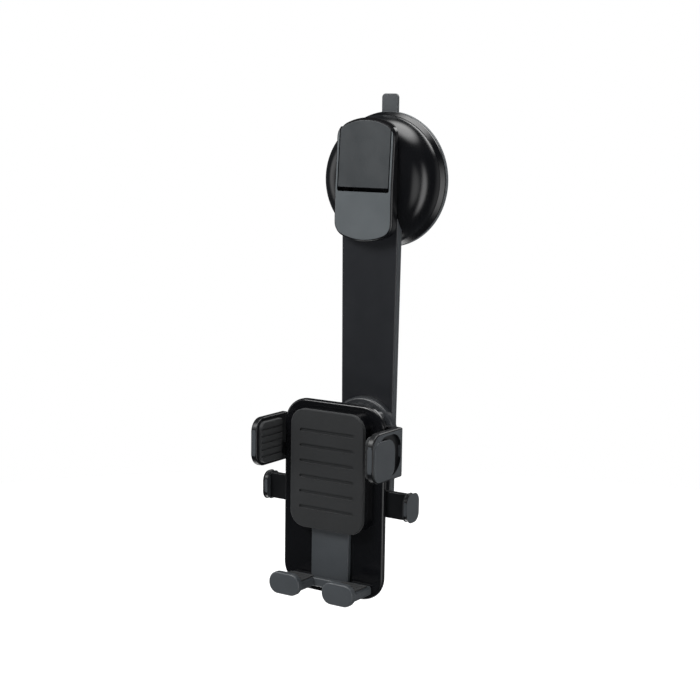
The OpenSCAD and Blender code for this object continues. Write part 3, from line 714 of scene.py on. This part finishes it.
# %% Front plate
front_plate = plate("cradle_plate", box_outline(-34.9, 34.9, -243.6, -128, 15, 14), 54.95, 58.5, 0.5, 1.5)
boss = plate("boss", box_outline(-25, 25, -203, -133, 9, 10), 57.0, 63.25, 0, 0.6)
channel_outline = box_outline(-13.3, 13.3, -275, -199.9, 0.8, 3)
carve(boss, plate("channel", channel_outline, 56, 61.2))
carve(front_plate, plate("channel", channel_outline, 57.5, 61.2))
join(front_plate, boss)
hand_over(front_plate, black_gloss, "gloss_plastic", "cradle", "front_plate")

# %% [markdown]
# The phone rests on a soft pad with six shallow grooves, which let the pad bend round a camera bump
# and keep dust away from the phone.

# %% Front pad
pad = plate("phone_pad", box_outline(-25.5, 25.5, -203.5, -132.5, 9.5, 10), 63.3, 65.75, 0.2, 0.7)
grooves = [plate("groove", box_outline(-19, 19, z - 1, z + 1, 0.95, 5), 64.95, 66.5)
           for z in (-145 - 9.2 * k for k in range(6))]
carve(pad, *grooves)
hand_over(pad, pad_silicone, "soft_silicone", "cradle", "front_pad")

# %% [markdown]
# The rear housing is a tray. Its mouths let the racks and the release levers out at the sides, and
# four deep holes take its screws. The rails inside keep the racks straight, as in the CAD frame.

# %% Rear housing
housing_low, housing_high, housing_half, wall = -222, -131, 30, 1.8
housing_back, housing_front, inside_back = 45.5, 54.9, 46.5
tray = plate("rear_tray", box_outline(-housing_half, housing_half, housing_low, housing_high, 11, 12),
             housing_back, housing_front, 2.4, 0.15)
room_half = housing_half - wall
room_outline = box_outline(-room_half, room_half, housing_low + wall, housing_high - wall, 9.2, 10)
room = plate("room", room_outline, housing_back + wall, 56)
mouths = [plate("mouth", box_outline(x - 6, x + 6, z - h / 2, z + h / 2, 0.5, 3), 50.3, 56)
          for x, z, h in ((30, -143, 8.6), (-30, -161, 8.6), (30, -184.8, 16), (-30, -184.8, 16))]
ring_groove = turned("ring", [(23.0, 44), (23.6, 44), (23.6, 45.9), (23.0, 45.9)], (0, ball_z), 96)
carve(tray, room, *mouths, ring_groove)
housing_screw_places = [(x, z) for x in (-24, 24) for z in (-135.4, -216.5)]
bosses = [plate("screw boss", circle_outline(3.2, x, z, 32), inside_back, housing_front)
          for x, z in housing_screw_places]
rails = [plate("rail", box_outline(-28.5, 28.5, z - h / 2, z + h / 2, 0.3, 2), inside_back, 50.4, 0, 0.2)
         for z, h in ((-142, 3), (-162, 3), (-184.8, 8))]
spring_stop = plate("stop", box_outline(-11, -9, -138.4, -134.4), inside_back, housing_front, 0, 0.2)
pawl_stop = plate("stop", box_outline(-5, 5, -187.6, -186.0), inside_back, housing_front, 0, 0.2)
join(tray, *bosses, *rails, spring_stop, pawl_stop)
carve(tray, *[screw_hole(place, 44, 3.1, 45.8, 46.7, 56) for place in housing_screw_places])
hand_over(tray, satin, "satin_plastic", "cradle", "rear_housing")
screw_set("housing_screw_set", housing_screw_places, housing_back, 57.6, "cradle", "housing_screws")

# %% [markdown]
# ## Clamps
# Each clamp is a plate that stands beside the phone, with a rack that runs into the housing. On the
# outer face a thumb pad rises from a curved recess. The recess is what reads as a dark crescent
# behind the pad, so it is cut first and the pad is set into it. The floor of the recess also gets a
# painted shadow, and the clamp's rounded edges get painted shade.

# %% Rack
rack_back, rack_front = 50.6, 54.5


def rack_outline():
    pitch = math.pi
    low, root, high, inner_end, outer_end = 4.2, 6.1, 13.0, -17, 39.3
    outline = [(outer_end, high), (inner_end, high), (inner_end, root)]
    for i in range(-4, 6):
        x = i * pitch
        outline += [(x - 0.6, root), (x + 0.6, root), (x + 1.0, 5.0), (x + 1.28, low)]
        outline += [(x + pitch - 1.28, low), (x + pitch - 1.0, 5.0)] if i < 5 else []
    return outline + [(outer_end, 5.0)]


def rack_bar(name, upper):
    sign = 1 if upper else -1
    outline = [(u, ball_z + sign * v) for u, v in rack_outline()]
    return plate(name, outline[::-1] if upper else outline, rack_back, rack_front)


# %% Clamp plate
clamp_z, clamp_inner, clamp_outer = ball_z - 1.4, 38.25, 42.65


def clamp_outline(corners, steps):
    """An outline drawn from the side; heights are taken from the clamp's middle."""
    return [(u, v + clamp_z) for u, v in rounded_outline(corners, steps)][::-1]


def clamp(name, upper):
    outline = clamp_outline([(50.3, -14.5, 1.0), (50.3, 14.5, 1.0), (82.5, 14.5, 8), (82.5, -14.5, 8)], 10)
    body = plate(name, outline, clamp_inner, clamp_outer, 0.8, 1.2, from_side, 5)
    dish = clamp_outline([(52.5, -12.0, 11.0), (52.5, 12.2, 9.0), (75.0, 12.2, 6.0), (75.0, -12.0, 3.0)], 12)
    carve(body, plate("dish", dish, 40.9, 45, 0, 0, from_side))
    thumb = clamp_outline([(59.3, -13.6, 8.0), (59.3, 9.9, 7.5), (81.0, 9.9, 6.0), (81.0, -13.6, 6.0)], 12)
    thumb_pad = plate("thumb pad", thumb, 39.5, clamp_outer + 0.4, 0, 0.4, from_side, 4)
    rack = rack_bar("rack", upper)
    join(body, thumb_pad, rack)
    if upper:
        lug_outline = box_outline(9, 12, ball_z + 12, ball_z + 17.6, 0.3, 2)
        join(body, plate("lug", lug_outline, rack_back, rack_front, 0.2, 0.2))
    return body


right_clamp = clamp("right_clamp_shell", True)
unmirrored = clamp("unmirrored clamp", False)
left_clamp = mirrored(unmirrored, "left_clamp_shell")
bpy.data.objects.remove(unmirrored)
hand_over(right_clamp, clamp_slate, "slate_plastic", "right_clamp", "right_clamp_arm")
hand_over(left_clamp, clamp_slate, "slate_plastic", "left_clamp", "left_clamp_arm")


flat_limit = 0.985


def clamp_painted_shade(normal, centre):
    """Painted shade: the rounded edges are painted near black where they mirror the dark room, the floor of
    the dish gets a painted shadow, and the inner face and the rack get painted shade.
    """
    on_thumb_pad = abs(centre.x) > clamp_outer + 0.03
    flat = max(abs(normal.x), -normal.y) > flat_limit or on_thumb_pad
    below_face = abs(centre.x) < 42.3 and normal.y > -flat_limit
    return not flat or below_face or -centre.y < 50.4 or abs(centre.x) < 38


# The clamps' rounded edges, dish floor, inner face and rack get painted shade in near black.
for clamp_piece in (right_clamp, left_clamp):
    second_finish(clamp_piece, painted_edge_shade, clamp_painted_shade)


# %% [markdown]
# The clamps' pads are soft and ribbed, so that they grip the phone's rounded sides. Their five
# grooves run front to back.

# %% Clamp pads
def clamp_pad(name):
    outline = clamp_outline([(59.75, -12.3, 0.8), (59.75, 12.3, 0.8), (80.3, 12.3, 4.3),
                             (80.3, -12.3, 4.3)], 8)
    body = plate(name, outline, 35.75, 38.35, 0.6, 0, from_side)
    cuts = [plate("groove", box_outline(56, 85, z - 0.6, z + 0.6), 35, 36.25, 0, 0.25, from_side)
            for z in (clamp_z + 4 * i for i in range(-2, 3))]
    return carve(body, *cuts)


right_pad = clamp_pad("right_grip")
left_pad = mirrored(right_pad, "left_grip")
hand_over(right_pad, pad_silicone, "soft_silicone", "right_clamp", "right_clamp_pad")
hand_over(left_pad, pad_silicone, "soft_silicone", "left_clamp", "left_clamp_pad")

# %% [markdown]
# ## Release levers
# Squeezing the two T-shaped levers pushes the pawl out of the racks. The end that the finger meets
# is a pillow with a full round edge. The nose at the inner end is a plain wedge, as on the real one.

# %% Release levers
bar_outline = box_outline(24.9, 49.5, -192.5, -177.1, 0.4, 2)
release = plate("right_trigger", bar_outline, rack_back, rack_front, 0.35, 0.35)
root_outline = [(20.6, -184.9), (26, -184.9), (26, -177.1), (20.6, -177.1)]
root = plate("root", root_outline, rack_back, rack_front)
nose_outline = [(25.6, -176.52), (25.6, -178.1), (20.6, -178.1), (20.6, -176.4), (13, -172.6), (13, -176.52)]
nose = plate("nose", nose_outline, rack_back, rack_front)
pillow_outline = box_outline(45.55, 57.55, -192.95, -177.2, 4.6, 10)[::-1]
pillow = plate("pillow", pillow_outline, 47.9, 50.9, 0.5, 0.8, from_side, 5)
join(release, root, nose, pillow)
left_release = mirrored(release, "left_trigger")
hand_over(release, clamp_slate, "satin_plastic", "right_release", "right_release_lever")
hand_over(left_release, clamp_slate, "satin_plastic", "left_release", "left_release_lever")
# The bar and the pillow's rounded edges get the near-black painted shade.
for trigger in (release, left_release):
    second_finish(trigger, painted_edge_shade, lambda normal, centre: abs(centre.x) < 47.8
                  or max(abs(normal.x), -normal.y) < flat_limit)

# %% [markdown]
# ## Foot
# The phone stands on two feet that pull out together. Each foot is a shelf that ends in a lip
# shaped like a lozenge, and a leaf slides in the plate's channel. The lips are the nearest part to
# the eye, so their edges get the finest rounding.

# %% Foot
shelf, foot_places = -233.9, (-18.7, 18.7)
shelf_under, shelf_back = shelf - 5.4, 58.8
leaf = plate("foot_bracket", box_outline(-13, 13, shelf_under, shelf + 30, 1.2, 4), 57.6, 60.9, 0.2, 0.3)
crossbar = plate("crossbar", box_outline(-27.4, 27.4, shelf_under, shelf, 1.4, 5), shelf_back, 63.5, 0.4, 0.8)
join(leaf, crossbar)
for x in foot_places:
    foot = plate("shelf", box_outline(x - 9.5, x + 9.5, shelf_under, shelf, 1.6, 6), shelf_back, 79.5, 0.4, 0)
    lip_outline = box_outline(x - 10.7, x + 10.7, shelf - 8, shelf + 5.2, 6.3, 14)
    join(leaf, foot, plate("lip", lip_outline, 77.6, 81.4, 0.5, 0.9, steps=5))
hand_over(leaf, clamp_slate, "slate_plastic", "foot", "foot_slider")

# %% Foot grips
grips = []
for x in foot_places:
    grip_outline = box_outline(x - 8.2, x + 8.2, shelf + 0.02, shelf + 0.775, 0.3, 3)
    grip = plate("foot_grips" if not grips else "grip", grip_outline, 61.75, 77.5, 0.3, 0.3)
    cut_outline = box_outline(x - 7, x + 7, shelf + 0.55, shelf + 2)
    cuts = [plate("cut", cut_outline, depth, depth + 0.9) for depth in (64.5, 67.5, 70.5, 73.5)]
    grips.append(carve(grip, *cuts))
join(*grips)
hand_over(grips[0], pad_silicone, "soft_silicone", "foot", "foot_pads")


# %% [markdown]
# ## Springs
# A coil spring is a round wire swept along a helix, with its end turns closed and flat so that it
# sits square. Three of them sit between the two bodies that they press on and are attached to
# neither. The long one between the release levers is squeezed from both ends, and it moves with
# the cradle.

# %% Spring maker
def spring(name, wire, radius, start, end, turns, across, axis):
    """A coil from start to end along an axis; across is the place of its centre line."""
    sides, steps = 10, int(turns * 30)
    length = abs(end - start) - 2 * wire

    def centre(t):
        closed = 0.8 / turns
        climb = min(1.0, max(0.0, (t - closed) / (1 - 2 * closed)))
        along = wire + 2 * wire * min(1.0, t / closed) * 0.5 + (length - 2 * wire) * climb
        along += 2 * wire * 0.5 * max(0.0, (t - 1 + closed) / closed)
        a = 2 * math.pi * turns * t
        return Vector((radius * math.cos(a), radius * math.sin(a), along))

    points = []
    for i in range(steps + 1):
        here = centre(i / steps)
        forward = (centre(min(1, (i + 1) / steps)) - centre(max(0, (i - 1) / steps))).normalized()
        outward = Vector((here.x, here.y, 0)).normalized()
        across_wire = forward.cross(outward).normalized()
        outward = across_wire.cross(forward)
        points += [here + wire * (math.cos(b) * outward + math.sin(b) * across_wire)
                   for b in (2 * math.pi * k / sides for k in range(sides))]
    faces = grid_faces(steps + 1, sides)
    faces += [tuple(range(sides))[::-1], tuple(range(steps * sides, (steps + 1) * sides))]
    step = 1 if end > start else -1
    laid = {"X": lambda p: (start + step * p.z, -across[0] + p.x, across[1] + p.y),
            "Y": lambda p: (across[0] + p.x, -(start + step * p.z), across[1] + p.y),
            "Z": lambda p: (across[0] + p.x, -across[1] + p.y, start + step * p.z)}[axis]
    return add_solid(name, [Vector(laid(p)) * MM for p in points], faces)


# %% Four springs
coil = spring("plunger_coil", 0.55, 5.2, 8.5, 19.0, 4, (0, 0), "Y")
hand_over(coil, spring_steel, "steel", None, "plunger_spring", sharp=60)
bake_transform(coil)

coil = spring("clamp_coil", 0.3, 1.5, -8.9, 8.9, 9, (52.55, ball_z + 15.6), "X")
hand_over(coil, spring_steel, "steel", None, "clamp_spring", sharp=60)
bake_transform(coil)

coil = spring("pawl_coil", 0.35, 1.5, -185.9, -178.8, 5, (0, 52.55), "Z")
hand_over(coil, spring_steel, "steel", None, "pawl_spring", sharp=60)
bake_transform(coil)

coil = spring("release_coil", 0.35, 1.5, -24.7, 24.7, 14, (52.55, -189.4), "X")
hand_over(coil, spring_steel, "steel", "cradle", "release_spring", sharp=60)
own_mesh(coil)

# %% [markdown]
# ## Pieces that keep their CAD shape
# The steel bar, the plunger, the pins, the pinion, the pawl and the ball are already exactly what
# they are on the real mount, so they stay, and only their finish changes.

# %% Finishes for the kept nodes
kept = {"arm_core": black_steel, "ball_liner": nylon, "sync_pinion": nylon, "lock_pawl": sheet_steel}
kept.update((node, turned_steel) for node in (
    "plunger", "lever_pin", "head_screws", "joint_ball", "stud_screw", "pinion_pin"))
for node, finish in kept.items():
    solid = frame["nodes"][node]
    for slot in solid.material_slots:
        slot.material = finish
    if not solid.material_slots:
        solid.data.materials.append(finish)
replaced = {name for o in bpy.data.objects for name in o.get("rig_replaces", [])}
print("nodes without a new finish:", sorted(set(frame["nodes"]) - replaced - set(kept)))

# %% [markdown]
# ## Studio
# The mount hangs over a pale floor in a room that looks white but gives little light. Black plastic
# is drawn by what it mirrors, so the floor is kept out of the reflections, and the light comes from
# soft boxes that can be placed one by one.

# %% Floor
floor_material = bpy.data.materials.new("pale floor")
floor_material.use_nodes = True
floor_shader = floor_material.node_tree.nodes["Principled BSDF"]
floor_shader.inputs["Base Color"].default_value = (0.3, 0.3, 0.3, 1)
floor_shader.inputs["Roughness"].default_value = 0.9
floor_shader.inputs["Specular IOR Level"].default_value = 0.0
floor_shader.inputs["Emission Color"].default_value = (1, 1, 1, 1)
floor_shader.inputs["Emission Strength"].default_value = 0.95
floor_r, floor_z, floor_sides = 1.05, -0.42, 96
floor_rim = [(x, y, floor_z) for x, y in circle_outline(floor_r, around=floor_sides)]
floor = add_solid("floor", floor_rim, [tuple(range(floor_sides))])
floor.data.materials.append(floor_material)
floor.visible_glossy = False

# %% Room light
world = bpy.data.worlds.new("studio")
world.use_nodes = True
bpy.context.scene.world = world
nodes, links = world.node_tree.nodes, world.node_tree.links
background = nodes["Background"]
background.inputs["Color"].default_value = (0.9, 0.95, 1.0, 1)
background.inputs["Strength"].default_value = 0.06  # little light: the soft boxes do the work
seen = nodes.new("ShaderNodeBackground")
seen.inputs["Color"].default_value = (1, 1, 1, 1)
seen.inputs["Strength"].default_value = 1.0
rays = nodes.new("ShaderNodeLightPath")
mix = nodes.new("ShaderNodeMixShader")
links.new(rays.outputs["Is Camera Ray"], mix.inputs["Fac"])
links.new(background.outputs["Background"], mix.inputs[1])
links.new(seen.outputs["Background"], mix.inputs[2])
links.new(mix.outputs["Shader"], nodes["World Output"].inputs["Surface"])


# %% [markdown]
# A soft box is a lamp behind a cloth, bright in the middle and fading towards its frame. The fade
# matters: a lamp with a hard edge draws a hard rectangle on the glossy dome. A spherical gradient
# over the lamp's own surface gives the fade. The key and the top box do most of the work, and the
# other six draw the narrow highlights on the edges and on the dome's shoulder.

# %% Soft boxes
def soft_box(name, place, width, height, power, aim=(0, -0.03, -0.09)):
    light = bpy.data.lights.new(name, "AREA")
    light.shape = "RECTANGLE"
    light.size, light.size_y = width, height
    light.energy = power
    light.use_nodes = True
    nodes, links = light.node_tree.nodes, light.node_tree.links
    where = nodes.new("ShaderNodeNewGeometry")
    centred = nodes.new("ShaderNodeMapping")
    centred.inputs["Location"].default_value = (-1, -1, 0)
    centred.inputs["Scale"].default_value = (2, 2, 0)
    fade = nodes.new("ShaderNodeTexGradient")
    fade.gradient_type = "SPHERICAL"
    gain = nodes.new("ShaderNodeMath")
    gain.operation = "MULTIPLY"
    gain.use_clamp = True
    gain.inputs[1].default_value = 1.8
    links.new(where.outputs["Parametric"], centred.inputs["Vector"])
    links.new(centred.outputs["Vector"], fade.inputs["Vector"])
    links.new(fade.outputs["Fac"], gain.inputs[0])
    links.new(gain.outputs["Value"], nodes["Emission"].inputs["Strength"])
    lamp = bpy.data.objects.new(name, light)
    lamp.location = place
    lamp.rotation_euler = (Vector(aim) - Vector(place)).to_track_quat("-Z", "Y").to_euler()
    lamp.visible_camera = False
    bpy.context.scene.collection.objects.link(lamp)
    return lamp


# name, place in metres, width, height, watts
for name, place, width, height, power in (
        ("key", (-0.75, -1.35, 1.1), 1.2, 1.2, 74),
        ("right strip", (1.15, -0.34, -0.35), 0.6, 2.2, 17),
        ("right fill", (0.95, -1.15, -0.25), 1.0, 1.7, 8),
        ("back right", (0.95, 1.35, -0.25), 1.6, 2.0, 3),
        ("back top", (0.1, 1.2, 0.75), 1.5, 0.6, 12),
        ("left", (-1.2, -0.5, 0.1), 0.9, 1.6, 7),
        ("top", (0.15, 0.05, 1.3), 1.6, 1.4, 50),
        ("below", (-0.35, 0.22, -0.95), 0.9, 0.7, 9)):
    soft_box(name, place, width, height, power)
bpy.context.scene.view_settings.view_transform = "Standard"
